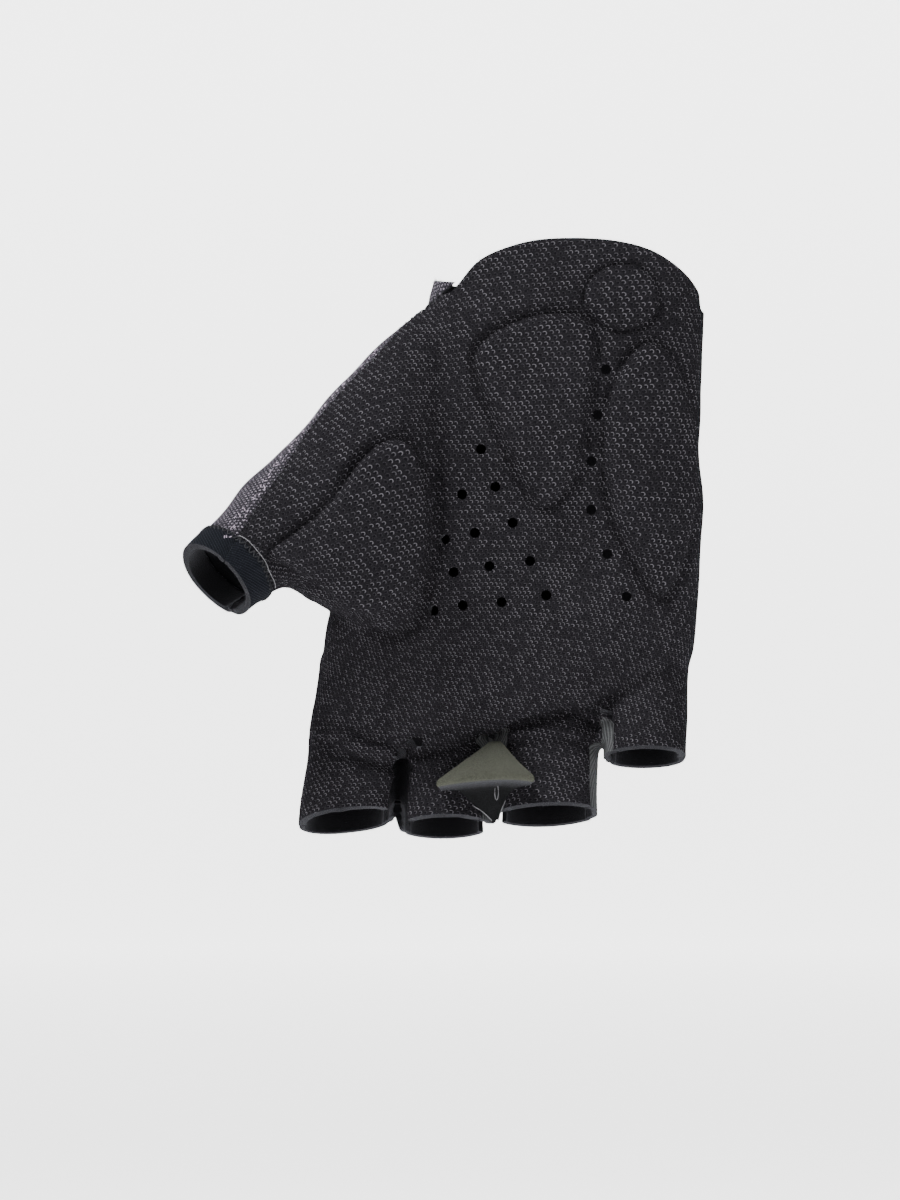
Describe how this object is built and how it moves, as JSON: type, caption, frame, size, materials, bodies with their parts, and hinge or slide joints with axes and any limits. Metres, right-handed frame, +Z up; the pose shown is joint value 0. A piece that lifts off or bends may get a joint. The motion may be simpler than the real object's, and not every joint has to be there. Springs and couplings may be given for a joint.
{
  "type": "cycling glove",
  "caption": "Short-finger cycling glove for a right hand, with a padded, perforated knit palm, open finger stalls, a hemmed thumb and a folded pull tab.",
  "frame": {"origin": "middle of the wrist opening, where the hand goes in", "axes": "+Z up the arm, away from the finger stalls; +X towards the little finger; +Y towards the back of the hand, so the palm faces -Y"},
  "size_m": [0.1245, 0.0508, 0.1435],
  "materials": {
    "palm": "dark knit with a pattern of small loops",
    "back": "fine lighter knit",
    "side": "fine dark rib",
    "hem": "dark twill band",
    "tab": "suede-like"
  },
  "bodies": {
    "root": {"palm_panel": "palm", "back_panel": "back", "side_wall_index_middle": "side", "side_wall_middle_ring": "side", "side_wall_ring_little": "side", "thumb_hem_palm": "hem", "thumb_hem_back": "hem", "pull_tab": "tab"}
  },
  "joints": []
}
